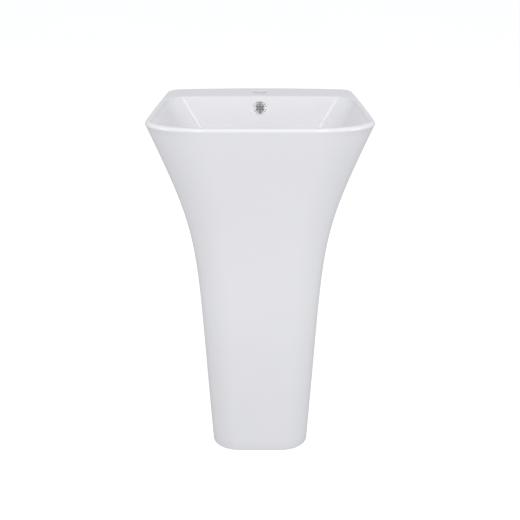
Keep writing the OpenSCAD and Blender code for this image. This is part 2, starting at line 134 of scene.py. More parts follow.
def surface(name, colours, roughness, metallic=0.0, ior=1.5, drift=8.0, grain=400.0,
            grain_height=0.00002, stretch=(1.0, 1.0, 1.0), glow=0.0):
    made = bpy.data.materials.new(name)
    made.use_nodes = True
    tree = made.node_tree
    shader = tree.nodes["Principled BSDF"]
    shader.inputs["Metallic"].default_value = metallic
    shader.inputs["IOR"].default_value = ior
    shader.inputs["Emission Color"].default_value = (1.0, 1.0, 1.0, 1.0)
    shader.inputs["Emission Strength"].default_value = glow
    place = add(tree, "ShaderNodeTexCoord")
    turn = add(tree, "ShaderNodeMapping", {"Scale": stretch})
    join(tree, place, "Object", turn, "Vector")
    cloud = add(tree, "ShaderNodeTexNoise", {"Scale": drift, "Detail": 3.0})
    join(tree, place, "Object", cloud, "Vector")
    ramp = add(tree, "ShaderNodeValToRGB")
    ramp.color_ramp.elements[0].position, ramp.color_ramp.elements[1].position = 0.35, 0.65
    ramp.color_ramp.elements[0].color = (*colours[0], 1.0)
    ramp.color_ramp.elements[1].color = (*colours[1], 1.0)
    join(tree, cloud, 0, ramp, "Fac")
    join(tree, ramp, "Color", shader, "Base Color")
    fine = add(tree, "ShaderNodeTexNoise", {"Scale": grain, "Detail": 4.0})
    join(tree, turn, "Vector", fine, "Vector")
    spread = add(tree, "ShaderNodeMapRange", {"To Min": roughness[0], "To Max": roughness[1]})
    join(tree, fine, 0, spread, "Value")
    join(tree, spread, 0, shader, "Roughness")
    bump = add(tree, "ShaderNodeBump", {"Strength": 1.0, "Distance": grain_height})
    join(tree, fine, 0, bump, "Height")
    join(tree, bump, 0, shader, "Normal")
    return made


# %% [markdown]
# ## Finishes
# - Glaze: bright, cool white, almost a mirror, with the faint ripple that a fired glaze keeps.
# - Bisque: the bare, matt china inside the pedestal and under the foot, where glaze is wiped off.
#   A near-black version, painted shade, lines the overflow's passage behind its perforated plate.
# - Chrome: two versions, the bright one that shows and the pipe work behind, a little hazier.
#   The overflow's perforated plate is pressed steel, its colour darkened as painted shade of its
#   recess.
# - Brass, spring wire, rubber and natural plastic for the hidden working pieces.

# %% Finishes
glaze = surface("white_glaze", [(0.808, 0.806, 0.828), (0.822, 0.820, 0.841)], (0.05, 0.10),
                drift=5.0, grain=90.0, grain_height=0.00003, ior=1.52)
bisque = surface("bare_bisque", [(0.70, 0.69, 0.66), (0.77, 0.76, 0.73)], (0.75, 0.92),
                 drift=14.0, grain=900.0, grain_height=0.00012)
# painted shade: near-black china standing for the unlit overflow passage
dull_bisque = surface("dull_bisque", [(0.10, 0.10, 0.09), (0.16, 0.155, 0.15)], (0.85, 0.95),
                      drift=30.0, grain=900.0, grain_height=0.00012)
bright_chrome = surface("bright_chrome", [(0.76, 0.77, 0.78), (0.82, 0.83, 0.84)], (0.04, 0.10),
                        metallic=1.0, drift=60.0, grain=700.0, grain_height=0.000004)
pipe_chrome = surface("pipe_chrome", [(0.70, 0.71, 0.72), (0.80, 0.81, 0.82)], (0.07, 0.17),
                      metallic=1.0, drift=30.0, grain=500.0, grain_height=0.000008,
                      stretch=(1.0, 1.0, 0.15))
# painted shade: the recessed plate's steel is coloured darker than chrome to stand for the shade in
# its recess
pressed_steel = surface("pressed_steel", [(0.33, 0.33, 0.33), (0.42, 0.42, 0.42)], (0.12, 0.22),
                        metallic=1.0, drift=120.0, grain=900.0, grain_height=0.000006)
turned_brass = surface("turned_brass", [(0.56, 0.39, 0.16), (0.74, 0.55, 0.26)], (0.22, 0.40),
                       metallic=1.0, drift=90.0, grain=600.0, grain_height=0.00003,
                       stretch=(0.12, 0.12, 4.0))
spring_wire = surface("spring_wire", [(0.48, 0.49, 0.50), (0.60, 0.61, 0.62)], (0.20, 0.34),
                      metallic=1.0, drift=200.0, grain=1500.0, grain_height=0.00001)
black_rubber = surface("black_rubber", [(0.018, 0.018, 0.020), (0.034, 0.034, 0.037)],
                       (0.62, 0.85), drift=60.0, grain=1800.0, grain_height=0.00006)
clear_plastic = surface("natural_plastic", [(0.68, 0.70, 0.69), (0.76, 0.77, 0.75)],
                        (0.32, 0.48), drift=50.0, grain=1000.0, grain_height=0.00003)
finish_of_slot = {"china": glaze, "chrome_trim": bright_chrome, "chrome_pipe": pipe_chrome,
                  "raw_brass": turned_brass, "spring_steel": spring_wire,
                  "black_rubber": black_rubber, "clear_plastic": clear_plastic}
slot_of_node = {row["node"]: row["material_slot"] for row in frame["record"]["subparts"]}
print("finishes:", sorted(m.name for m in finish_of_slot.values()))

# %% [markdown]
# ## Carried-over nodes
# Small pieces whose engineering shape is already the real shape, such as seals and washers,
# keep their mesh and only get a finish. Pieces that are remade below replace theirs.

# %% Finishes on the engineering nodes
body_of_node = {node: body for body, nodes in
                frame["record"]["behaviour"]["bodies"].items() for node in nodes}
for node, carried in frame["nodes"].items():
    carried.data.materials.append(finish_of_slot[slot_of_node[node]])
print("nodes given a finish:", len(frame["nodes"]))

# %% [markdown]
# ## Mesh helpers
# Sizes below are in millimetres, as a drawing has them, and become metres as a mesh is made.
# `stand_in` is the last step for each new piece: it hangs the piece on the body it rides on
# and hides the engineering node it stands for.

# %% Mesh helpers
MM = 0.001


def mesh_object(name, points, faces, materials, sharp=35.0):
    mesh = bpy.data.meshes.new(name)
    mesh.from_pydata([tuple(p) for p in np.asarray(points) * MM], [], faces)
    for material in materials:
        mesh.materials.append(material)
    mesh.shade_smooth()
    mesh.set_sharp_from_angle(angle=math.radians(sharp))
    mesh.validate()
    made = bpy.data.objects.new(name, mesh)
    bpy.context.scene.collection.objects.link(made)
    return made


def baked(thing, sharp=35.0):
    """The object with its modifiers turned into a plain mesh."""
    seen = thing.evaluated_get(bpy.context.evaluated_depsgraph_get())
    mesh = bpy.data.meshes.new_from_object(seen)
    thing.modifiers.clear()
    old, thing.data = thing.data, mesh
    bpy.data.meshes.remove(old)
    mesh.name = thing.name
    mesh.shade_smooth()
    mesh.set_sharp_from_angle(angle=math.radians(sharp))
    return thing


def carve(thing, cutter, operation="DIFFERENCE"):
    step = thing.modifiers.new("carve", "BOOLEAN")
    step.operation, step.object, step.solver = operation, cutter, "MANIFOLD"
    baked(thing)
    bpy.data.objects.remove(cutter)
    return thing


def stand_in(piece, node):
    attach(piece, body_of_node[node])
    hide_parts(node)
    triangles = sum(len(p.vertices) - 2 for p in piece.data.polygons)
    print(f"{piece.name}: {triangles} triangles")
    return piece

# %% [markdown]
# ## Turned pieces
# Most plumbing is turned on a lathe, so its shape is a profile swept round an axis. `soften`
# first replaces each corner of the profile with a small arc, because a real turned edge is
# always broken and it is that tiny arc that catches the light.

# %% Turned pieces
def soften(profile, radius, steps=4, on_axis=True):
    """A closed outline with its corners rounded, except those on the axis if it has one."""
    out, count = [], len(profile)
    for i, here in enumerate(np.asarray(profile, float)):
        before, after = (np.asarray(profile[(i + k) % count], float) for k in (-1, 1))
        back, on = before - here, after - here
        reach = min(radius, np.linalg.norm(back) * 0.4, np.linalg.norm(on) * 0.4)
        straight = abs(back[0] * on[1] - back[1] * on[0]) < 1e-6
        if (on_axis and here[0] < 1e-6) or reach < 1e-6 or straight:
            out.append(here)
            continue
        start = here + back / np.linalg.norm(back) * reach
        end = here + on / np.linalg.norm(on) * reach
        for t in np.linspace(0.0, 1.0, steps + 1):
            out.append((1 - t) ** 2 * start + 2 * t * (1 - t) * here + t * t * end)
    return out


def turned(name, profile, material, place=None, segments=96, edge=0.25, sharp=35.0):
    """Sweeps a closed profile round the Z axis, then puts the piece where place says."""
    points, faces, rows = [], [], []
    outline = soften(profile, edge) if edge else [np.asarray(p, float) for p in profile]
    area = sum(p[0] * q[1] - q[0] * p[1] for p, q in zip(outline, outline[1:] + outline[:1]))
    if area < 0:
        outline = outline[::-1]
    angles = np.linspace(0.0, 2.0 * math.pi, segments, endpoint=False)
    for r, h in outline:
        start = len(points)
        if r < 1e-6:
            rows.append([start] * segments)
            points.append((0.0, 0.0, h))
        else:
            rows.append(list(range(start, start + segments)))
            points += [(r * math.cos(a), r * math.sin(a), h) for a in angles]
    for low, high in zip(rows, rows[1:] + rows[:1]):
        if low[0] == low[1] and high[0] == high[1]:
            continue
        for j in range(segments):
            n = (j + 1) % segments
            faces.append(tuple(dict.fromkeys([low[j], low[n], high[n], high[j]])))
    made = mesh_object(name, points, faces, [material], sharp)
    if place is not None:
        made.data.transform(place)
    return made


def prism(name, outline, material, low, high, place=None):
    """A straight block with an outline of (x, y) points, from low to high along Z."""
    count = len(outline)
    points = [(x, y, z) for z in (low, high) for x, y in outline]
    faces = [tuple(range(count))[::-1], tuple(range(count, 2 * count))]
    faces += [(j, (j + 1) % count, count + (j + 1) % count, count + j) for j in range(count)]
    if sum(p[0] * q[1] - q[0] * p[1] for p, q in zip(outline, outline[1:] + outline[:1])) < 0:
        faces = [face[::-1] for face in faces]
    made = mesh_object(name, points, faces, [material])
    if place is not None:
        made.data.transform(place)
    return made


def oblong(half_x, half_y):
    return [(-half_x, -half_y), (half_x, -half_y), (half_x, half_y), (-half_x, half_y)]


def rod(r, low, high):
    """The profile of a plain cylinder."""
    return [(0.0, low), (r, low), (r, high), (0.0, high)]


def shifted(x=0.0, y=0.0, z=0.0):
    return Matrix.Translation((x * MM, y * MM, z * MM))


def tipped(angle):
    return Matrix.Rotation(math.radians(angle), 4, "X")


# %% [markdown]
# ## The outlines of the casting
# Seen from above, the basin is a rounded box: straight along the wall, slightly bowed at the
# sides and broadly rounded at the front. One list of eight sizes describes such an outline,
# and every level of the casting, outside or inside, is an outline of that family. A Bezier
# curve through four numbers says how each size changes on the way up.

# %% Curves and outlines
def bezier(four, t):
    return ((1 - t) ** 3 * four[0] + 3 * (1 - t) ** 2 * t * four[1]
            + 3 * (1 - t) * t * t * four[2] + t ** 3 * four[3])


def reaches(four, value):
    """The parameter at which a steadily rising or falling curve reaches a value."""
    low, high = 0.0, 1.0
    for _ in range(40):
        middle = (low + high) / 2
        if (bezier(four, middle) < value) == (four[0] < four[3]):
            low = middle
        else:
            high = middle
    return (low + high) / 2


QUARTER = 0.5523
SIDE_BOW = 0.25
STRETCHES = (14, 12, 26, 28, 12)
HALF = sum(STRETCHES)


def half_outline(o):
    """Points from the middle of the wall side, round the right side, to the middle in front."""
    b, a = np.array([o[0], o[2] + o[5]]), np.array([o[1], o[3] - o[7]])
    mid = np.array([a[0] * (1 - SIDE_BOW) / 2 + b[0] * (1 + SIDE_BOW) / 2, (a[1] + b[1]) / 2])
    rear_tip = a + (a - mid) * (o[3] - a[1]) / (a[1] - mid[1])
    front_tip = b + (b - mid) * (b[1] - o[2]) / (mid[1] - b[1])
    rear_end = np.array([rear_tip[0] - o[6], o[3]])
    front_end = np.array([front_tip[0] - o[4], o[2]])

    def corner(start, end, tip, t):
        return bezier([start, start + QUARTER * (tip - start), end + QUARTER * (tip - end), end], t)

    out = [rear_end * [t, 1] for t in np.linspace(0, 1, STRETCHES[0], endpoint=False)]
    out += [corner(rear_end, a, rear_tip, t)
            for t in np.linspace(0, 1, STRETCHES[1], endpoint=False)]
    out += [(1 - s) ** 2 * a + 2 * s * (1 - s) * mid + s * s * b
            for s in np.linspace(0, 1, STRETCHES[2], endpoint=False)]
    out += [corner(b, front_end, front_tip, t)
            for t in np.linspace(0, 1, STRETCHES[3], endpoint=False)]
    out += [front_end * [t, 1] for t in np.linspace(1, 0, STRETCHES[4] + 1)]
    return np.array(out)


def whole(half, height):
    """Mirrors a half outline into a closed ring at a height, or at one height per point."""
    half = np.column_stack([half, np.broadcast_to(height, len(half))])
    return np.vstack([half, half[-2:0:-1] * [-1, 1, 1]])

# %% [markdown]
# ## Sizes of the casting
# The overall width, depth and height come from the engineering model. The curves that carry
# the outline from the small foot, through the slim waist, to the wide rim are written as four
# numbers each: foot, two handles and rim. The handles near the waist keep the pedestal almost
# straight for half its height, and then it flares.

# %% Sizes of the casting
rim_w = (cad_box[1][0] - cad_box[0][0]) / MM
rim_d = (cad_box[1][1] - cad_box[0][1]) / MM
wall_y = cad_box[1][1] / MM
CROWN = 3.0
RIM_Z = cad_box[1][2] / MM - CROWN
EDGE_R, LIP_R, WALL, BOWL_SKIN = 7.0, 6.0, 12.0, 13.0
REAR_HALF_W, CROWN_HALF_W, CROWN_FROM_Y = 229.0, 215.0, 60.0
crown_run = wall_y - EDGE_R - CROWN_FROM_Y
FRONT_CORNER, REAR_CORNER = (144.0, 87.0), 28.0
SIDE_TAN, FRONT_TAN = 1 / math.tan(math.radians(35)), 1 / math.tan(math.radians(37.5))
sharp_half_w = rim_w / 2 + EDGE_R * (SIDE_TAN - 1)
sharp_rear_w = REAR_HALF_W + EDGE_R * (SIDE_TAN - 1)
sharp_d = rim_d + EDGE_R * (FRONT_TAN - 1)
HEIGHTS = (0.0, 565.0, 535.0, RIM_Z)
HALF_WIDTHS = (118.6, 154.0, 133.0, sharp_half_w)
DEPTHS = (320.0, 346.0, 331.0, sharp_d)
SHARP = [sharp_half_w, sharp_rear_w, wall_y - sharp_d, wall_y, *FRONT_CORNER, REAR_CORNER,
         REAR_CORNER]
print("rim, mm:", round(rim_w, 1), "x", round(rim_d, 1), "at", round(RIM_Z, 1))

# %% [markdown]
# ## The flared pedestal, by rule
# The outside of the pedestal follows one rule: the rim's sharp outline, narrowed and
# shortened by two curves as it goes down. That suits Geometry Nodes. The tree takes the
# outline as a ring of points, lays a grid whose columns are those points and whose rows climb
# the height, and moves every point of the grid to its place. Its named inputs are the four
# numbers of each curve, so the flare can be redrawn without touching the mesh.

# %% Flare tree
FLARE_NUMBERS = [f"{curve} {k}" for curve in ("Height", "Width", "Depth") for k in range(4)]
FLARE_NUMBERS += ["From", "To", "Wall"]


def new_tree(name, numbers, counts=()):
    """A tree that takes geometry, named numbers and whole counts, and a material."""
    tree = bpy.data.node_groups.new(name, "GeometryNodeTree")
    inputs = [("Geometry", "Geometry")] + [(label, "Float") for label in numbers]
    inputs += [(label, "Int") for label in counts] + [("Material", "Material")]
    for label, kind in inputs:
        tree.interface.new_socket(label, in_out="INPUT", socket_type=f"NodeSocket{kind}")
    tree.interface.new_socket("Geometry", in_out="OUTPUT", socket_type="NodeSocketGeometry")
    return tree, add(tree, "NodeGroupInput"), add(tree, "NodeGroupOutput")


def close_tree(tree, given, result, node, output="Geometry"):
    """Every tree ends the same way: real geometry, then its material."""
    real = add(tree, "GeometryNodeRealizeInstances")
    coat = add(tree, "GeometryNodeSetMaterial")
    join(tree, node, output, real, "Geometry")
    join(tree, real, 0, coat, "Geometry")
    join(tree, given, "Material", coat, "Material")
    join(tree, coat, 0, result, "Geometry")
    return tree


def grown(thing, tree, values, sharp=35.0):
    """Runs a tree on an object, its inputs set by identifier, and keeps the plain mesh."""
    step = thing.modifiers.new("grow", "NODES")
    step.node_group = tree
    for item in tree.interface.items_tree:
        if item.in_out == "INPUT" and item.name in values:
            step[item.identifier] = values[item.name]
    return baked(thing, sharp)


def flare_tree():
    tree, given, result = new_tree("flared_pedestal", FLARE_NUMBERS, ("Rows", "Columns"))
    grid = add(tree, "GeometryNodeMeshGrid")
    join(tree, given, "Columns", grid, "Vertices X")
    join(tree, given, "Rows", grid, "Vertices Y")
    index = add(tree, "GeometryNodeInputIndex")
    column = maths(tree, "FLOOR", maths(tree, "DIVIDE", (index, 0), (given, "Rows")))
    row = maths(tree, "SUBTRACT", (index, 0), maths(tree, "MULTIPLY", column, (given, "Rows")))
    last = maths(tree, "SUBTRACT", (given, "Rows"), 1.0)
    share = maths(tree, "DIVIDE", row, last)
    span = maths(tree, "SUBTRACT", (given, "To"), (given, "From"))
    t = maths(tree, "MULTIPLY_ADD", share, span, (given, "From"))
    back = maths(tree, "SUBTRACT", 1.0, t)

    def curve(label):
        total = None
        for k, weight in enumerate((1.0, 3.0, 3.0, 1.0)):
            rising = maths(tree, "POWER", t, float(k))
            falling = maths(tree, "POWER", back, float(3 - k))
            part = maths(tree, "MULTIPLY", maths(tree, "MULTIPLY", rising, falling), weight)
            part = maths(tree, "MULTIPLY", part, (given, f"{label} {k}"))
            total = part if total is None else maths(tree, "ADD", total, part)
        return total

    height = curve("Height")
    wide = maths(tree, "DIVIDE", curve("Width"), (given, "Width 3"))
    deep = maths(tree, "DIVIDE", curve("Depth"), (given, "Depth 3"))
    # the ring has one point fewer than the grid has columns, because the grid closes on itself
    turns = maths(tree, "SUBTRACT", (given, "Columns"), 1.0)
    wrapped = maths(tree, "MODULO", column, turns)
    spot = add(tree, "GeometryNodeInputPosition")
    ring = add(tree, "GeometryNodeSampleIndex", data_type="FLOAT_VECTOR", domain="POINT")
    join(tree, given, "Geometry", ring, "Geometry")
    join(tree, spot, 0, ring, "Value")
    join(tree, *wrapped, ring, "Index")
    parts = add(tree, "ShaderNodeSeparateXYZ")
    join(tree, ring, 0, parts, 0)
    x = maths(tree, "MULTIPLY", (parts, "X"), wide)
    gap = maths(tree, "SUBTRACT", (given, "Wall"), (parts, "Y"))
    y = maths(tree, "SUBTRACT", (given, "Wall"), maths(tree, "MULTIPLY", gap, deep))
    place = add(tree, "ShaderNodeCombineXYZ")
    for source, entry in ((x, "X"), (y, "Y"), (height, "Z")):
        join(tree, *source, place, entry)
    move = add(tree, "GeometryNodeSetPosition")
    join(tree, grid, "Mesh", move, "Geometry")
    join(tree, place, 0, move, "Position")
    weld = add(tree, "GeometryNodeMergeByDistance", {"Distance": 0.00001})
    join(tree, move, 0, weld, "Geometry")
    return close_tree(tree, given, result, weld)


# %% Grow the flare
FOOT_EDGE = 3.0
ROWS = 64
flare_top = RIM_Z - 12.0
flare_from, flare_to = reaches(HEIGHTS, FOOT_EDGE), reaches(HEIGHTS, flare_top)
sharp_ring = whole(half_outline(SHARP), RIM_Z)
ring_n = len(sharp_ring)
flare = mesh_object("flare", sharp_ring, [], [glaze])
values = {f"{curve} {k}": float(four[k]) * MM for curve, four in
          (("Height", HEIGHTS), ("Width", HALF_WIDTHS), ("Depth", DEPTHS)) for k in range(4)}
values.update({"From": flare_from, "To": flare_to, "Wall": wall_y * MM, "Rows": ROWS,
               "Columns": ring_n + 1, "Material": glaze})
grown(flare, flare_tree(), values)
print("flare:", len(flare.data.vertices), "points,", len(flare.data.polygons), "faces")

# %% [markdown]
# ## Rim, deck, bowl and underside
# The rest of the casting is a stack of rings that carries on where the flare stops: round the
# rim's edge, across the flat deck, over the inner lip, down the bowl, through the waste hole
# and back along the hidden underside. Neighbouring rings have the same number of points, so
# they zip together into a skin that closes on itself. The deck rises a little towards the
# middle of the wall side, so that splashed water runs back into the bowl.

# %% Rings of the casting
def scaled_outline(z, inset=0.0):
    t = reaches(HEIGHTS, z)
    kx, ky = bezier(HALF_WIDTHS, t) / sharp_half_w, bezier(DEPTHS, t) / sharp_d
    return [sharp_half_w * kx - inset, sharp_rear_w * kx - inset,
            wall_y - sharp_d * ky + inset, wall_y - inset,
            FRONT_CORNER[0] * kx - inset, FRONT_CORNER[1] * ky - inset,
            max(REAR_CORNER * kx - inset, 4.0), max(REAR_CORNER * ky - inset, 4.0)]


def crown(points):
    across = np.clip(1 - (points[:, 0] / CROWN_HALF_W) ** 2, 0, None)
    along = np.clip((points[:, 1] - CROWN_FROM_Y) / crown_run, 0, 1)
    return CROWN * across * along


def rim_half(angle):
    side, front = EDGE_R * (SIDE_TAN - math.cos(angle)), EDGE_R * (FRONT_TAN - math.cos(angle))
    rear = EDGE_R * (1 - math.cos(angle))
    return half_outline([sharp_half_w - side, sharp_rear_w - side, wall_y - sharp_d + front,
                         wall_y - rear, FRONT_CORNER[0] - side, FRONT_CORNER[1] - front,
                         REAR_CORNER - rear, REAR_CORNER - rear])


FLOOR_EDGE_Z, FLOOR_CENTRE_Z, FLOOR_UNDER_Z = 710.0, 704.5, 691.0
FLOOR_DISC_R, FLOOR_HOLE_R = 34.0, 12.0
SIDE, FRONT = (rim_w / 2 - 14.0, 196.0, 172.0, 112.0), (14.0 - rim_d / 2, -168.0, -150.0, -95.0)
BACK, DROP = (wall_y - 90.0, 102.0, 92.0, 48.0), (RIM_Z - LIP_R, 772.0, 712.0, FLOOR_EDGE_Z)


def bowl_half(u, extra=0.0):
    half = bezier(SIDE, u) + extra
    fc = (130.0 - 55.0 * u + extra, 75.0 - 15.0 * u + extra)
    rc = 45.0 + 15.0 * u + extra
    return half_outline([half, half - 12.0 + 6.0 * u, bezier(FRONT, u) - extra,
                         bezier(BACK, u) + extra, fc[0], fc[1], rc, rc])


waste_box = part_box("plug_cap")
WASTE_Y = (waste_box[0][1] + waste_box[1][1]) / 2 / MM


def disc_half(r):
    angle = np.radians(90 - 180 * np.arange(HALF + 1) / HALF)
    return np.column_stack([r * np.cos(angle), WASTE_Y + r * np.sin(angle)])


rings, outside = [], []


def put(half, height, glazed=True):
    rings.append(whole(half, height))
    outside.append(glazed)


# up from the foot's rounded edge to the first ring of the flare, which the flare itself makes
for angle in np.radians(np.arange(0, 91, 30)):
    inset = FOOT_EDGE * (1 - math.sin(angle))
    put(half_outline(scaled_outline(FOOT_EDGE * (1 - math.cos(angle)), inset)),
        FOOT_EDGE * (1 - math.cos(angle)))
foot_rings = len(rings)
# the flare's last ring, the rim's edge, the deck and the lip
put(half_outline(scaled_outline(flare_top)), flare_top)
for angle in np.radians(np.arange(-20, 91, 10)):
    half = rim_half(angle)
    put(half, RIM_Z + EDGE_R * (math.sin(angle) - 1) + crown(half))
outer_edge, inner_edge = rim_half(math.pi / 2), bowl_half(0.0, LIP_R)
for share in np.arange(1, 10) / 10:
    half = outer_edge * (1 - share) + inner_edge * share
    put(half, RIM_Z + crown(half))
for angle in np.radians(np.arange(90, 9, -10)):
    half = bowl_half(0.0, LIP_R * (1 - math.cos(angle)))
    put(half, RIM_Z + LIP_R * (math.sin(angle) - 1) + crown(half))
for u in np.linspace(0, 1, 45):
    half = bowl_half(u)
    put(half, bezier(DROP, u) + crown(half) * (1 - u))
# the bowl's floor falls to the waste and ends in a disc that the waste hole cuts away
floor_edge, floor_disc = bowl_half(1.0), disc_half(FLOOR_DISC_R)
for share in np.arange(1, 11) / 10:
    put(floor_edge * (1 - share) + floor_disc * share,
        FLOOR_EDGE_Z + (FLOOR_CENTRE_Z - FLOOR_EDGE_Z) * share)
put(disc_half(FLOOR_HOLE_R), FLOOR_CENTRE_Z)
put(disc_half(FLOOR_HOLE_R), FLOOR_UNDER_Z, False)
print("rings so far:", len(rings), "with", ring_n, "points each")

# %% [markdown]
# The underside follows the bowl 13 mm below it, and the inner face of the pedestal follows
# the outside 12 mm in. Where they meet is high under the deck, to leave room for the tap's
# nut, and lower at the sides, where bowl and pedestal part. Here the china is bare.

# %% Rings of the underside
spots = np.arange(HALF + 1)
MEET_REAR_Z, MEET_SIDE_Z = 834.0, 742.0
ease = np.clip((spots - STRETCHES[0]) / (STRETCHES[1] * 2 / 3), 0, 1)
top = MEET_REAR_Z + (MEET_SIDE_Z - MEET_REAR_Z) * ease ** 2 * (3 - 2 * ease)
top_u = np.array([reaches(DROP, z) for z in top])
for share in np.linspace(1, 0, 13):
    u = top_u * (1 - share) + share
    half = np.array([bowl_half(u[i], BOWL_SKIN)[i] for i in spots])
    put(half, bezier(DROP, u) - BOWL_SKIN * share * share, False)
for share in np.linspace(1, 0, 25):
    z = top * share
    half = np.array([half_outline(scaled_outline(z[i], WALL))[i] for i in spots])
    put(half, z, False)
print("rings in all:", len(rings))

# %% Zip the rings together
def zipped(rings, outside, skip):
    points, faces, slots = np.vstack(rings), [], []
    for k in range(len(rings)):
        if k == skip:
            continue
        k2 = (k + 1) % len(rings)
        for j in range(ring_n):
            j2 = (j + 1) % ring_n
            faces.append((k * ring_n + j, k2 * ring_n + j, k2 * ring_n + j2, k * ring_n + j2))
            slots.append(0 if outside[k] and outside[k2] else 1)
    return points, faces, slots


points, faces, slots = zipped(rings, outside, foot_rings - 1)
CASTING_FINISHES = [glaze, bisque, dull_bisque]
casting = mesh_object("washbasin_casting", points, faces, CASTING_FINISHES)
casting.data.polygons.foreach_set("material_index", slots[:len(casting.data.polygons)])
with bpy.context.temp_override(active_object=casting, selected_editable_objects=[casting, flare]):
    bpy.ops.object.join()

skin = bmesh.new()
skin.from_mesh(casting.data)
bmesh.ops.remove_doubles(skin, verts=skin.verts, dist=0.00002)
bmesh.ops.recalc_face_normals(skin, faces=skin.faces)
open_edges = sum(1 for e in skin.edges if not e.is_manifold)
volume = skin.calc_volume()
skin.to_mesh(casting.data)
skin.free()
print("casting skin: open edges", open_edges, "volume, litres", round(volume * 1000, 2))


# %% [markdown]
# ## Holes and the overflow's passage
# Holes are cut with Boolean modifiers, each by a turned tool. A hole in glazed china never has
# a crisp edge: glaze rounds it. So the tools that cut a visible hole flare out at the surface
# by a quarter circle, and the rounding comes out of the cut itself. Tools marked bare leave
# unglazed china behind: pale, or near black as painted shade in the overflow's passage.

# %% Hole tools
def bell(r, low, surface_z, flare, reach=10.0):
    """The profile of a hole tool whose mouth opens out at the surface."""
    mouth = [(r + flare * (1 - math.cos(a)), surface_z - flare * (1 - math.sin(a)))
             for a in np.radians(np.arange(0, 86, 12))]
    top = surface_z + reach
    return [(0, low), (r, low), *mouth, (mouth[-1][0] + 0.02, top), (0, top)]


def bare(tool, slot=1):
    tool.data.materials.clear()
    for material in CASTING_FINISHES:
        tool.data.materials.append(material)
    for face in tool.data.polygons:
        face.material_index = slot
    return tool


def drill(name, profile, place, segments=96, lining=None):
    """Cuts a turned tool out of the casting and leaves glaze, or a bare lining, behind; lining 2 is
    near-black painted shade.
    """
    tool = turned(name, profile, glaze, place, segments, edge=0)
    carve(casting, tool if lining is None else bare(tool, lining))


at_waste = shifted(y=WASTE_Y)
OVERFLOW_Z, OVERFLOW_SINK = 820.0, 0.6
overflow_u = reaches(DROP, OVERFLOW_Z)
step_u = 0.02
overflow_lean = math.degrees(math.atan2(
    bezier(BACK, overflow_u - step_u) - bezier(BACK, overflow_u + step_u),
    bezier(DROP, overflow_u - step_u) - bezier(DROP, overflow_u + step_u)))
at_overflow = (shifted(y=bezier(BACK, overflow_u), z=OVERFLOW_Z) @ tipped(90 - overflow_lean)
               @ shifted(z=-OVERFLOW_SINK))
tap_y = wall_y - 45.0
deck_slope = math.degrees(math.atan(CROWN / crown_run))
tap_z = RIM_Z + CROWN * (tap_y - CROWN_FROM_Y) / crown_run
print("overflow leans", round(overflow_lean, 2), "degrees; deck slopes", round(deck_slope, 2))

# %% The waste's boss and the overflow's case
DUCT_STEPS = (0.09, 0.28, 0.52)
DUCT_LOW, DUCT_REAR_Y, DUCT_TURN_Z = (672.0, 684.0), 106.0, 712.0
DUCT_DEEP, DUCT_SKIN, DUCT_HALF_W, CASE_RISE = 10.0, 6.0, 17.0, 9.0
BOSS_R, BOSS_Z = 36.0, (655.0, 700.0)
spine = [(bezier(BACK, u) + BOWL_SKIN - 1.0, bezier(DROP, u)) for u in DUCT_STEPS]
passage = [(y + DUCT_DEEP, z) for y, z in spine]
passage += [(DUCT_REAR_Y, DUCT_TURN_Z), (DUCT_REAR_Y, DUCT_LOW[0]), (WASTE_Y, DUCT_LOW[0]),
            (WASTE_Y, DUCT_LOW[1]), (DUCT_REAR_Y - 14.0, DUCT_LOW[1]),
            (DUCT_REAR_Y - 12.0, DUCT_TURN_Z)] + spine[::-1]
case_back = [(y + DUCT_DEEP + DUCT_SKIN, z) for y, z in spine]
case_front = [(y - DUCT_SKIN, z) for y, z in spine]
case_back[0] = (case_back[0][0] - 1.0, case_back[0][1] + CASE_RISE)
case_front[0] = (case_front[0][0] + 1.0, case_front[0][1] + CASE_RISE)
case_rear_y, case_low_z = DUCT_REAR_Y + DUCT_SKIN, DUCT_LOW[0] - DUCT_SKIN
case = case_back + [(case_rear_y, DUCT_TURN_Z), (case_rear_y, case_low_z),
                    (WASTE_Y, case_low_z), (WASTE_Y, BOSS_Z[1]), (60.0, BOSS_Z[1] + 2.0),
                    (DUCT_REAR_Y - 22.0, 720.0)] + case_front[::-1]
sideways = Matrix(((0, 0, 1, 0), (1, 0, 0, 0), (0, 1, 0, 0), (0, 0, 0, 1)))
carve(casting, bare(turned("boss", rod(BOSS_R, *BOSS_Z), glaze, at_waste, edge=2.0)), "UNION")
for name, outline, half_w, lining, operation in (
        ("case", case, DUCT_HALF_W + DUCT_SKIN, 1, "UNION"),
        # the passage is lined with near-black painted shade
        ("passage", passage, DUCT_HALF_W, 2, "DIFFERENCE")):
    block_tool = prism(name, outline, glaze, -half_w, half_w, sideways)
    carve(casting, bare(block_tool, lining), operation)
print("casting with case:", len(casting.data.polygons), "faces")

# %% Cut the holes
SLEEVE_R, BOLT_HALF_SPAN, BOLT_Z = 12.5, 140.0, 790.0
drill("waste_tool", rod(23.0, 640.0, 720.0), at_waste)
drill("seat_tool", bell(33.5, 702.0, 704.6, 1.6), at_waste)
drill("ring_tool", bell(15.3, 0.0, 0.9, 0.8), at_overflow)
# the sleeve is lined with near-black painted shade too
drill("sleeve_tool", rod(SLEEVE_R, -16.0, 4.0), at_overflow, lining=2)
drill("tap_tool", bell(17.5, -26.0, 0.0, 2.6), shifted(y=tap_y, z=tap_z) @ tipped(deck_slope), 128)
towards_wall = tipped(-90)
for side in (-BOLT_HALF_SPAN, BOLT_HALF_SPAN):
    drill("bolt_tool", bell(6.5, -24.0, 0.0, 1.5), shifted(side, wall_y, BOLT_Z) @ towards_wall)
SLOT = [(-72, -1), (72, -1), (72, 560), (105, 620), (105, 822), (-105, 822), (-105, 620),
        (-72, 560)]
slot_outline = [tuple(p) for p in soften(SLOT, 9.0, 5, on_axis=False)]
carve(casting, prism("slot_tool", slot_outline, glaze, -10.0, 22.0,
                     shifted(y=wall_y) @ tipped(90)))
print("casting with its holes:", len(casting.data.polygons), "faces")
stand_in(casting, "ceramic_body")

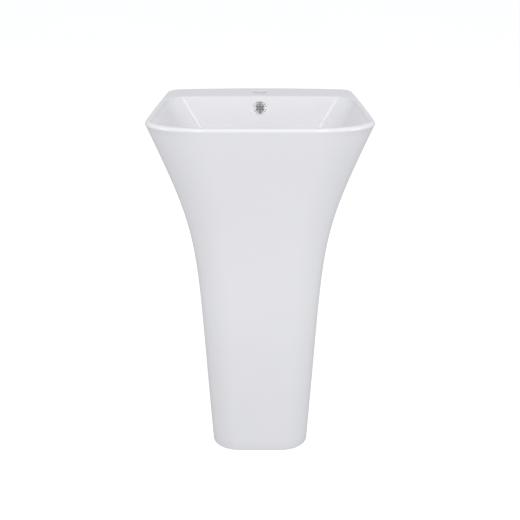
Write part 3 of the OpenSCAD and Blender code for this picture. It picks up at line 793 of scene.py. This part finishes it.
# %% [markdown]
# ## Overflow ring and its perforated plate
# The ring is pressed chrome with a half-round face, so it is turned. The plate recessed in it
# is a disc with rows of round holes, every other row moved along by half a pitch. Repeats like
# that suit Geometry Nodes: a grid of points, alternate rows shifted, points too near the edge
# deleted, a circle on each of the rest, and all the circles filled as one flat shape, which
# leaves the holes open. The shape is then given its thickness.

# %% Overflow ring and sleeve
MID_R, HALF_R = 12.5, 2.5
ring_face = [(MID_R + HALF_R * math.cos(a), 2.4 * math.sin(a))
             for a in np.linspace(0, math.pi, 25)]
ring_piece = turned("overflow_ring_chrome", ring_face + [(10.0, -8.0), (11.4, -8.0), (11.4, 0.0)],
                    bright_chrome, at_overflow, 128, edge=0)
stand_in(ring_piece, "overflow_ring")

# %% Perforated plate tree
def plate_tree():
    tree, given, result = new_tree("perforated_plate", ("Plate radius", "Thickness", "Pitch",
                                                        "Hole radius", "Edge"))
    columns, rows = 9, 7
    grid = add(tree, "GeometryNodeMeshGrid", {"Vertices X": columns, "Vertices Y": rows})
    pitch = (given, "Pitch")
    row_gap = maths(tree, "MULTIPLY", pitch, math.sin(math.radians(60)))
    join(tree, *maths(tree, "MULTIPLY", pitch, float(columns - 1)), grid, "Size X")
    join(tree, *maths(tree, "MULTIPLY", row_gap, float(rows - 1)), grid, "Size Y")
    index = add(tree, "GeometryNodeInputIndex")
    # the grid counts up each column, so the remainder is the row, and its parity the shift
    row = maths(tree, "MODULO", (index, 0), float(rows))
    odd = maths(tree, "MODULO", row, 2.0)
    slide = maths(tree, "MULTIPLY", maths(tree, "SUBTRACT", 1.0, odd),
                  maths(tree, "MULTIPLY", pitch, 0.5))
    shift = add(tree, "ShaderNodeCombineXYZ")
    join(tree, *slide, shift, "X")
    move = add(tree, "GeometryNodeSetPosition")
    join(tree, grid, "Mesh", move, "Geometry")
    join(tree, shift, 0, move, "Offset")
    spot = add(tree, "GeometryNodeInputPosition")
    length = add(tree, "ShaderNodeVectorMath", operation="LENGTH")
    join(tree, spot, 0, length, 0)
    reach = maths(tree, "ADD", (length, "Value"), (given, "Hole radius"))
    limit = maths(tree, "SUBTRACT", (given, "Plate radius"), (given, "Edge"))
    outside_plate = add(tree, "FunctionNodeCompare", operation="GREATER_THAN")
    join(tree, *reach, outside_plate, 0)
    join(tree, *limit, outside_plate, 1)
    drop = add(tree, "GeometryNodeDeleteGeometry", domain="POINT")
    join(tree, move, 0, drop, "Geometry")
    join(tree, outside_plate, 0, drop, "Selection")
    hole = add(tree, "GeometryNodeCurvePrimitiveCircle", {"Resolution": 28})
    join(tree, given, "Hole radius", hole, "Radius")
    copies = add(tree, "GeometryNodeInstanceOnPoints")
    join(tree, drop, 0, copies, "Points")
    join(tree, hole, 0, copies, "Instance")
    rim = add(tree, "GeometryNodeCurvePrimitiveCircle", {"Resolution": 96})
    join(tree, given, "Plate radius", rim, "Radius")
    flat_real = add(tree, "GeometryNodeRealizeInstances")
    join(tree, copies, 0, flat_real, 0)
    both = add(tree, "GeometryNodeJoinGeometry")
    join(tree, flat_real, 0, both, 0)
    join(tree, rim, 0, both, 0)
    filled = add(tree, "GeometryNodeFillCurve")
    join(tree, both, 0, filled, 0)
    thick = add(tree, "GeometryNodeExtrudeMesh", {"Individual": False})
    join(tree, filled, 0, thick, "Mesh")
    join(tree, given, "Thickness", thick, "Offset Scale")
    back = add(tree, "GeometryNodeFlipFaces")
    join(tree, filled, 0, back, 0)
    closed = add(tree, "GeometryNodeJoinGeometry")
    join(tree, thick, 0, closed, 0)
    join(tree, back, 0, closed, 0)
    weld = add(tree, "GeometryNodeMergeByDistance", {"Distance": 0.000005})
    join(tree, closed, 0, weld, 0)
    return close_tree(tree, given, result, weld)


# %% Perforated plate
# the plate's darker steel is painted shade of its recess
plate = mesh_object("overflow_grate_steel", [(0.0, 0.0, 0.0)], [], [pressed_steel])
grown(plate, plate_tree(), {"Plate radius": 10.0 * MM, "Thickness": 1.0 * MM,
                            "Pitch": 4.4 * MM, "Hole radius": 1.5 * MM, "Edge": 0.3 * MM,
                            "Material": pressed_steel})
plate.data.transform(at_overflow @ shifted(z=-4.5))
stand_in(plate, "overflow_grate")

# %% [markdown]
# ## Screw threads, by rule
# A thread is a ridge that climbs a little with every turn, so its height depends only on how
# far up and how far round a point is. One small Geometry Nodes tree applies that rule to any
# turned piece: points near a chosen radius, between two heights, sink by a triangle wave of
# (height / pitch - angle / full turn). The same tree cuts the waste's long thread and the
# short ones of the trap. The pieces only need enough rows of points along the threaded part.

# %% Thread tree
def thread_tree():
    tree, given, result = new_tree("screw_thread", ("Radius", "Pitch", "Depth", "From", "To"))
    spot = add(tree, "GeometryNodeInputPosition")
    parts = add(tree, "ShaderNodeSeparateXYZ")
    join(tree, spot, 0, parts, 0)
    flat = add(tree, "ShaderNodeCombineXYZ")
    join(tree, parts, "X", flat, "X")
    join(tree, parts, "Y", flat, "Y")
    reach = add(tree, "ShaderNodeVectorMath", operation="LENGTH")
    join(tree, flat, 0, reach, 0)
    angle = maths(tree, "DIVIDE", maths(tree, "ARCTAN2", (parts, "Y"), (parts, "X")), 2 * math.pi)
    turns = maths(tree, "SUBTRACT", maths(tree, "DIVIDE", (parts, "Z"), (given, "Pitch")), angle)
    wave = maths(tree, "PINGPONG", maths(tree, "MULTIPLY", turns, 2.0), 1.0)
    miss = maths(tree, "ABSOLUTE", maths(tree, "SUBTRACT", (reach, "Value"), (given, "Radius")))
    near = maths(tree, "LESS_THAN", miss, 0.00005)
    above = maths(tree, "GREATER_THAN", (parts, "Z"), (given, "From"))
    below = maths(tree, "LESS_THAN", (parts, "Z"), (given, "To"))
    chosen = maths(tree, "MULTIPLY", near, maths(tree, "MULTIPLY", above, below))
    sink = maths(tree, "MULTIPLY", maths(tree, "MULTIPLY", wave, chosen), (given, "Depth"))
    outward = add(tree, "ShaderNodeVectorMath", operation="NORMALIZE")
    join(tree, flat, 0, outward, 0)
    inward = add(tree, "ShaderNodeVectorMath", operation="SCALE")
    join(tree, outward, 0, inward, 0)
    join(tree, *maths(tree, "MULTIPLY", sink, -1.0), inward, "Scale")
    move = add(tree, "GeometryNodeSetPosition")
    join(tree, given, "Geometry", move, "Geometry")
    join(tree, inward, 0, move, "Offset")
    return close_tree(tree, given, result, move)


screw = thread_tree()


def rows_between(r, low, high, gap=0.38):
    """Points close together along a straight stretch of a profile."""
    count = max(2, int(abs(high - low) / gap))
    return [(r, float(z)) for z in np.linspace(low, high, count + 1)]


def threaded(thing, r, pitch, depth, low, high, material):
    return grown(thing, screw, {"Radius": r * MM, "Pitch": pitch * MM, "Depth": depth * MM,
                                "From": low * MM, "To": high * MM, "Material": material}, 40.0)

# %% [markdown]
# ## The waste
# A flanged brass tube goes down through the bowl and is pulled tight from below by a big nut.
# Four windows in its tail let water from the overflow in, and a cross inside carries the
# push-to-open cartridge. The tube is turned, threaded by the tree above, and then the windows
# are cut and the cross is added with Boolean modifiers.

# %% Waste body
STEM_R, BORE_R, STEM_LOW, FLANGE_Z = 20.9, 17.5, 622.0, 703.2
TOP_Z = FLANGE_Z + 2.2
waste = turned("waste_body_chrome",
               [(BORE_R, STEM_LOW)] + rows_between(STEM_R, STEM_LOW, FLANGE_Z)
               + [(32.0, FLANGE_Z), (32.0, FLANGE_Z + 1.2), (31.0, TOP_Z), (24.0, TOP_Z),
                  (20.5, FLANGE_Z - 1.0), (BORE_R, FLANGE_Z - 6.0)],
               bright_chrome, segments=112, edge=0.5)
threaded(waste, STEM_R, 2.309, 0.8, STEM_LOW + 1.5, FLANGE_Z - 8.0, bright_chrome)
BAR = oblong(7.0, 30.0)
for corners in (BAR, [(y, -x) for x, y in BAR]):
    carve(waste, prism("window_tool", corners, bright_chrome, *DUCT_LOW))
CROSS_Z, HUB_R, HUB_BORE_R = (662.0, 668.0), 7.5, 4.05
hub = turned("hub", [(HUB_BORE_R, CROSS_Z[0]), (HUB_R, CROSS_Z[0]), (HUB_R, CROSS_Z[1]),
                     (HUB_BORE_R, CROSS_Z[1])], bright_chrome, edge=0.4)
for turn in (45.0, 135.0):
    spoke = prism("spoke", oblong(BORE_R + 1.0, 2.0), bright_chrome, CROSS_Z[0] + 1.0,
                  CROSS_Z[1] - 1.0, Matrix.Rotation(math.radians(turn), 4, "Z"))
    carve(spoke, turned("spoke_tool", rod(6.0, 650.0, 680.0), bright_chrome, edge=0))
    carve(hub, spoke, "UNION")
carve(waste, hub, "UNION")
waste.data.transform(at_waste)
stand_in(waste, "waste_body")

# %% [markdown]
# ## Nuts
# A nut is a turned blank with flats cut on it. Turning the blank with a chamfer first and then
# keeping only what lies inside a six- or eight-sided block gives the curved bevels that a real
# nut has where its flats run out.

# %% Nuts
def block(sides, r):
    return [(r * math.cos(2 * math.pi * k / sides), r * math.sin(2 * math.pi * k / sides))
            for k in range(sides)]


def nut(name, blank, sides, r, low, high, material, place):
    made = turned(name, blank, material, edge=0.35, segments=128)
    carve(made, prism("flats", block(sides, r), material, low - 1.0, high + 1.0), "INTERSECT")
    made.data.transform(place)
    return made


stand_in(nut("waste_backnut_brass",
             [(21.0, 636.0), (27.0, 636.0), (29.0, 637.4), (29.0, 644.6), (27.0, 646.0),
              (21.0, 646.0)], 6, 29.0, 636.0, 646.0, turned_brass, at_waste), "waste_backnut")


def union_nut(r, height, bore, bore_height, hole):
    """The profile of a union nut: a thread bore and a lip that pulls on the pipe's flange."""
    return [(bore, 0.0), (r - 0.8, 0.0), (r, 0.8), (r, height * 0.30), (r - 0.7, height * 0.34),
            (r - 0.7, height * 0.40), (r, height * 0.44), (r, height - 2.2), (r - 2.4, height),
            (hole, height), (hole, bore_height), (bore, bore_height)]


PIPE_R, PIPE_BORE_R, PIPE_GAP, OUTLET_Z = 16.0, 14.8, 0.3, 565.0
HOLE_R = PIPE_R + PIPE_GAP
UNION_NUTS = (
    ("trap_inlet_nut", 26.0, 20.0, 21.0, 13.6, 27.17, True, at_waste @ shifted(z=611.0)),
    ("trap_head_nut", 25.0, 14.0, 21.1, 8.2, 26.12, False, at_waste @ shifted(z=592.0)),
    ("outlet_nut", 24.0, 19.0, 19.6, 14.8, 25.08, False,
     shifted(y=28.0, z=OUTLET_Z) @ towards_wall))
for node, r, height, bore, bore_height, flats_r, upside_down, place in UNION_NUTS:
    profile = union_nut(r, height, bore, bore_height, HOLE_R)
    if upside_down:
        profile = [(out, height - z) for out, z in profile]
    stand_in(nut(f"{node}_chrome", profile, 8, flats_r, 0.0, height, pipe_chrome, place), node)

# %% [markdown]
# ## Plug, stem and cartridge
# Pressing the domed cap latches and unlatches the cartridge under it. The cap's edge turns
# down in one smooth curve, which is why the profile samples a quarter ellipse finely.

# %% Plug and cartridge
CAP_Z, CAP_R = 707.2, 31.0
DOME_R, DOME_FROM, DOME_RISE = CAP_R + 0.5, 0.8, 4.8
dome = [(DOME_R * math.cos(a), CAP_Z + DOME_FROM + DOME_RISE * math.sin(a))
        for a in np.linspace(0, math.pi / 2, 33)]
stand_in(turned("plug_cap_chrome", [(0.0, CAP_Z), (CAP_R, CAP_Z)] + dome, bright_chrome,
                at_waste, 144, edge=0), "plug_cap")
stand_in(turned("plug_stem_brass",
                [(0.0, 680.0), (4.9, 680.0), (4.9, 682.0), (3.2, 682.0), (3.2, CAP_Z - 1.0),
                 (6.0, CAP_Z - 1.0), (6.0, CAP_Z), (0.0, CAP_Z)], turned_brass, at_waste, 64),
         "plug_stem")
stand_in(turned("click_cartridge_brass",
                [(0.0, 660.0), (4.0, 660.0), (4.0, 668.0), (6.5, 668.0), (6.5, 697.0),
                 (3.28, 697.0), (3.28, 695.0), (5.2, 695.0), (5.2, 672.0), (0.0, 672.0)],
                turned_brass, at_waste, 64, edge=0.2), "click_cartridge")

# %% [markdown]
# ## The cartridge's spring
# A coil spring is a wire that follows a path, so Geometry Nodes draw it: a spiral curve with a
# circle swept along it. Height, turns and wire size are named inputs.

# %% Spring
def spring_tree():
    tree, given, result = new_tree("coil_spring", ("Coil radius", "Height", "Turns",
                                                   "Wire radius"))
    path = add(tree, "GeometryNodeCurveSpiral", {"Resolution": 40})
    join(tree, given, "Turns", path, "Rotations")
    join(tree, given, "Coil radius", path, "Start Radius")
    join(tree, given, "Coil radius", path, "End Radius")
    join(tree, given, "Height", path, "Height")
    wire = add(tree, "GeometryNodeCurvePrimitiveCircle", {"Resolution": 10})
    join(tree, given, "Wire radius", wire, "Radius")
    sweep = add(tree, "GeometryNodeCurveToMesh", {"Fill Caps": True})
    join(tree, path, 0, sweep, "Curve")
    join(tree, wire, 0, sweep, "Profile Curve")
    return close_tree(tree, given, result, sweep, "Mesh")


spring = mesh_object("click_spring_wire", [(0.0, 0.0, 0.0)], [], [spring_wire])
grown(spring, spring_tree(), {"Coil radius": 4.0 * MM, "Height": 6.4 * MM, "Turns": 5.0,
                              "Wire radius": 0.4 * MM, "Material": spring_wire})
spring.data.transform(at_waste @ shifted(z=672.8))
stand_in(spring, "click_spring")

# %% [markdown]
# ## The bottle trap
# The bottle trap keeps a little water standing between the room and the drain. Its dip tube
# ends below the outlet, and its cup unscrews by hand for cleaning. Its metal parts are
# turned from chromed brass. The cup has rings at its collar for grip.

# %% Dip tube and head
stand_in(turned("trap_dip_tube_chrome",
                [(PIPE_BORE_R, 475.0), (PIPE_R, 475.0), (PIPE_R, 617.5), (20.6, 617.5),
                 (20.6, 619.5), (PIPE_BORE_R, 619.5)], pipe_chrome, at_waste), "trap_dip_tube")
head = turned("trap_head_chrome",
              [(24.5, 530.0)] + rows_between(28.0, 530.0, 543.0) +
              [(31.0, 543.0), (31.0, 583.0), (30.2, 585.6), (27.0, 588.0), (21.0, 591.0)]
              + rows_between(21.0, 591.2, 598.0) +
              [(HOLE_R, 598.0), (HOLE_R, 586.0), (24.5, 580.0)],
              pipe_chrome, segments=112, edge=0.4)
threaded(head, 28.0, 3.0, 0.7, 531.5, 541.5, pipe_chrome)
threaded(head, 21.0, 2.309, 0.6, 592.4, 597.0, pipe_chrome)
head.data.transform(at_waste)
spigot = turned("spigot", [(0.0, 20.0)] + rows_between(19.5, 20.0, 55.0) + [(0.0, 55.0)],
                pipe_chrome, segments=112, edge=0.4)
threaded(spigot, 19.5, 2.309, 0.6, 44.0, 54.0, pipe_chrome)
level_at_waste = at_waste @ shifted(z=OUTLET_Z) @ towards_wall
spigot.data.transform(level_at_waste)
carve(spigot, turned("inside_tool", rod(25.5, 520.0, 586.0), pipe_chrome, at_waste, edge=0))
carve(head, spigot, "UNION")
carve(head, turned("outlet_tool", rod(HOLE_R, 0.0, 70.0), pipe_chrome, level_at_waste, edge=0))
stand_in(head, "trap_head")

# %% Cup
grip = [(32.5, 527.0)]
for z in np.arange(529.0, 541.0, 2.4):
    grip += [(32.5, z), (31.9, z + 0.5), (31.9, z + 0.9), (32.5, z + 1.4)]
stand_in(turned("trap_cup_chrome",
                [(0.0, 446.0), (20.0, 446.0), (24.0, 447.6), (26.6, 450.6), (28.0, 455.0),
                 (28.0, 522.0)] + grip +
                [(32.5, 542.5), (28.3, 542.5), (28.3, 527.0), (25.0, 527.0), (25.0, 455.0),
                 (21.0, 450.0), (0.0, 450.0)], pipe_chrome, at_waste, 128, edge=0.4), "trap_cup")

# %% Outlet pipe and cover plate
PIPE_LOW, GROOVE, GROOVE_DEPTH = 22.0, 1.5, 0.3
groove_y = wall_y - 46.0
stand_in(turned("outlet_pipe_chrome",
                [(PIPE_BORE_R, PIPE_LOW), (PIPE_R, PIPE_LOW), (PIPE_R, groove_y - GROOVE),
                 (PIPE_R - GROOVE_DEPTH, groove_y - GROOVE), (PIPE_R - GROOVE_DEPTH, groove_y),
                 (PIPE_R, groove_y), (PIPE_R, wall_y), (PIPE_BORE_R, wall_y)], pipe_chrome,
                shifted(z=OUTLET_Z) @ towards_wall, edge=0.15), "outlet_pipe")
plate_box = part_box("wall_flange")
plate_y = plate_box[1][1] / MM
stand_in(turned("wall_flange_chrome",
                [(35.0, 0.0), (35.0, -1.5), (33.4, -3.3), (29.0, -5.5), (25.0, -7.1), (21.0, -8.5),
                 (16.08, -10.0), (16.08, -6.0), (20.5, -6.8), (28.0, -4.0), (33.0, -0.8),
                 (33.0, 0.0)], pipe_chrome,
                shifted(y=plate_y, z=OUTLET_Z) @ towards_wall, 128, edge=0.3), "wall_flange")

# %% [markdown]
# ## Studio
# A plain pale floor reaches past the view. It is kept out of the glaze's reflections and bounce,
# as a sheet of frosted paper would be, so it cannot wash the pedestal out from below. A wide
# soft box high in front fills the bowl, two low ones light the pedestal's sides, and between
# them stand two narrow strips whose mirror images are the bright lines in the bowl's corners.
# Two pale cards, one behind and one in front, are there only to be reflected: the first by the
# deck, the second by the bowl's back wall and the chrome. A black flag overhead, also seen in
# reflections only, draws the dark arcs on the chrome. An even world fills the rest.

# %% Studio
pale = surface("pale_floor", [(0.90, 0.90, 0.90), (0.92, 0.92, 0.92)], (0.55, 0.70), drift=0.7,
               glow=0.5)
FLOOR = 20000.0
floor = mesh_object("floor", [(-FLOOR, -FLOOR, 0), (FLOOR, -FLOOR, 0), (FLOOR, FLOOR, 0),
                              (-FLOOR, FLOOR, 0)], [(0, 1, 2, 3)], [pale])
floor.visible_diffuse = False
floor.visible_glossy = False
flag_cloth = surface("flag_cloth", [(0.010, 0.010, 0.010), (0.016, 0.016, 0.016)], (0.90, 0.98))
flag = mesh_object("flag", [(-1500, -700, 2400), (1500, -700, 2400), (1500, 1700, 2400),
                            (-1500, 1700, 2400)], [(3, 2, 1, 0)], [flag_cloth])
for ray in ("camera", "diffuse", "shadow", "transmission"):
    setattr(flag, f"visible_{ray}", False)


def soft_box(name, place, aim, size, radiance):
    data = bpy.data.lights.new(name, "AREA")
    data.shape, data.size, data.size_y = "RECTANGLE", size[0], size[1]
    data.energy = radiance * math.pi * size[0] * size[1]
    made = bpy.data.objects.new(name, data)
    made.location = place
    made.rotation_euler = (Vector(aim) - Vector(place)).to_track_quat("-Z", "Y").to_euler()
    bpy.context.scene.collection.objects.link(made)
    return made


high_box = soft_box("high_box", (0.0, -2.2, 3.1), (0.0, 0.0, 0.7), (3.6, 2.4), 1.45)
high_box.visible_glossy = False
for side, label, radiance in ((-1.0, "left", 3.0), (1.0, "right", 3.6)):
    soft_box(f"{label}_low_box", (side * 2.5, -1.45, 0.8), (0.0, 0.0, 0.5), (1.0, 1.4), radiance)
    soft_box(f"{label}_strip", (side * 0.76, -2.74, 2.2), (side * -0.16, 0.11, 0.8),
             (0.5, 1.5), 3.5)
for card in (soft_box("back_card", (0.0, 2.2, 1.4), (0.0, 0.0, 0.85), (4.0, 1.6), 0.2),
             soft_box("front_card", (0.0, -3.5, 1.75), (0.0, 0.0, 0.85), (2.0, 1.2), 0.6)):
    card.visible_camera = False
    card.visible_diffuse = False
world = bpy.data.worlds.new("studio")
world.use_nodes = True
world.node_tree.nodes["Background"].inputs["Color"].default_value = (0.97, 0.98, 1.0, 1.0)
world.node_tree.nodes["Background"].inputs["Strength"].default_value = 0.54
bpy.context.scene.world = world
bpy.context.scene.view_settings.view_transform = "Standard"
